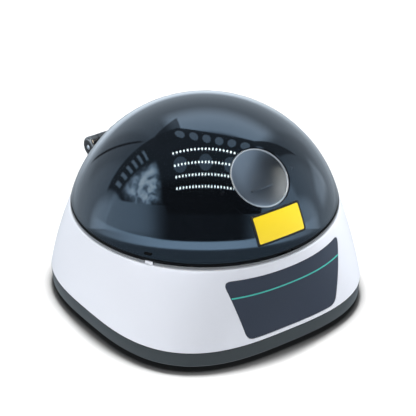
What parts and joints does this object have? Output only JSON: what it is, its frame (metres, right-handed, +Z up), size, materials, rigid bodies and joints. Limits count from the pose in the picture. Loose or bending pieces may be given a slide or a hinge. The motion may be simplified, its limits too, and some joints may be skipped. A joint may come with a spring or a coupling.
{
  "type": "mini centrifuge",
  "caption": "Rounded square bench centrifuge with a hinged smoked dome lid, a press button latch, a tilted tube rotor and a rear power switch.",
  "frame": {"origin": "on the bench, under the middle of the outline", "axes": "+Z up, the front panel faces -Y, the lid's hinge is at +Y"},
  "size_m": [0.1588, 0.1694, 0.1153],
  "materials": {
    "white_shell": "smooth white moulded shell",
    "grey_tray": "fine grained dark grey",
    "panel_face": "dark slate face with one turquoise line",
    "seal": "smooth grey elastomer",
    "black_plastic": "black satin",
    "chamber": "black satin",
    "smoked_dome": "smoked see-through plastic, polished",
    "smoked_button": "smoked plastic, polished",
    "rotor_plastic": "dark moulded plastic",
    "foot_rubber": "matt black",
    "steel": "plated",
    "spring_steel": "drawn wire",
    "brass": "turned",
    "board": "green board",
    "capacitor_sleeve": "dark shrink sleeve",
    "terminal": "green moulding",
    "lead_sleeve": "red sleeve",
    "sticker": "yellow film with a black border"
  },
  "bodies": {
    "base": {"bottom_tray": "grey_tray", "upper_housing": "white_shell", "front_panel": "panel_face", "rubber_foot_front_left": "foot_rubber", "rubber_foot_front_right": "foot_rubber", "rubber_foot_rear_right": "foot_rubber", "rubber_foot_rear_left": "foot_rubber", "motor_damper_front_left": "foot_rubber", "motor_damper_front_right": "foot_rubber", "motor_damper_rear": "foot_rubber", "tray_screw_front_left": "steel", "tray_screw_front_right": "steel", "tray_screw_rear_right": "steel", "tray_screw_rear_left": "steel", "mount_screw_front_left": "steel", "mount_screw_front_right": "steel", "mount_screw_rear": "steel", "latch_catch": "steel", "catch_screw_left": "steel", "catch_screw_right": "steel", "bracket_screw_left": "steel", "bracket_screw_right": "steel", "hinge_pin": "steel", "drive_motor": "steel", "motor_plate": "steel", "motor_screw_left": "steel", "motor_screw_right": "steel", "inlet_nut": "steel", "lid_seal_ring": "seal", "chamber_bowl": "chamber", "interlock_switch": "black_plastic", "hinge_bracket": "black_plastic", "power_inlet": "black_plastic", "power_switch_frame": "black_plastic", "hinge_spring": "spring_steel", "control_board": "board", "board_capacitor": "capacitor_sleeve", "board_terminal": "terminal", "motor_lead": "lead_sleeve", "inlet_lead": "lead_sleeve"},
    "lid": {"dome_lid": "smoked_dome", "dome_sticker": "sticker", "button_spring": "spring_steel", "latch_carrier": "black_plastic", "carrier_screw_left": "steel", "carrier_screw_right": "steel", "lever_pin": "steel", "lid_hinge_arm": "black_plastic", "arm_screw_left": "steel", "arm_screw_right": "steel", "interlock_striker": "black_plastic"},
    "rotor": {"motor_shaft": "steel", "drive_collar": "brass", "tube_rotor": "rotor_plastic", "rotor_knob": "black_plastic"},
    "press_button": {"press_button": "smoked_button"},
    "latch_lever": {"latch_lever": "black_plastic"},
    "power_rocker": {"power_rocker": "black_plastic"},
    "interlock_plunger": {"interlock_plunger": "seal"}
  },
  "joints": [
    {"name": "lid_hinge", "type": "hinge", "parent": "base", "child": "lid", "pos_m": [0, 0.0787, 0.06], "axis": [-1, 0, 0], "range_deg": [0, 85], "deforming": ["hinge_spring"]},
    {"name": "button_press", "type": "slide", "parent": "lid", "child": "press_button", "axis": [0, 0.6678, -0.7443], "range_m": [0, 0.002], "stiffness_N_per_m": 400, "springref_m": -0.002, "deforming": ["button_spring"]},
    {"name": "latch_turn", "type": "hinge", "parent": "lid", "child": "latch_lever", "pos_m": [0, -0.0599, 0.0725], "axis": [1, 0, 0], "range_deg": [-6.9, 0]},
    {"name": "rotor_spin", "type": "hinge", "parent": "base", "child": "rotor", "pos_m": [0, -0.0053, 0.058], "axis": [0, 0, 1], "continuous": true},
    {"name": "rocker_tip", "type": "hinge", "parent": "base", "child": "power_rocker", "pos_m": [0.013, 0.0724, 0.031], "axis": [1, 0, 0], "range_deg": [-20, 0]},
    {"name": "interlock_rise", "type": "slide", "parent": "base", "child": "interlock_plunger", "axis": [0, 0, 1], "range_m": [0, 0.0015]}
  ],
  "couplings": [
    {"joint": "latch_turn", "follows": "button_press", "rad_per_m": -58.824},
    {"joint": "interlock_rise", "follows": "lid_hinge", "m_per_rad": 0.001}
  ]
}
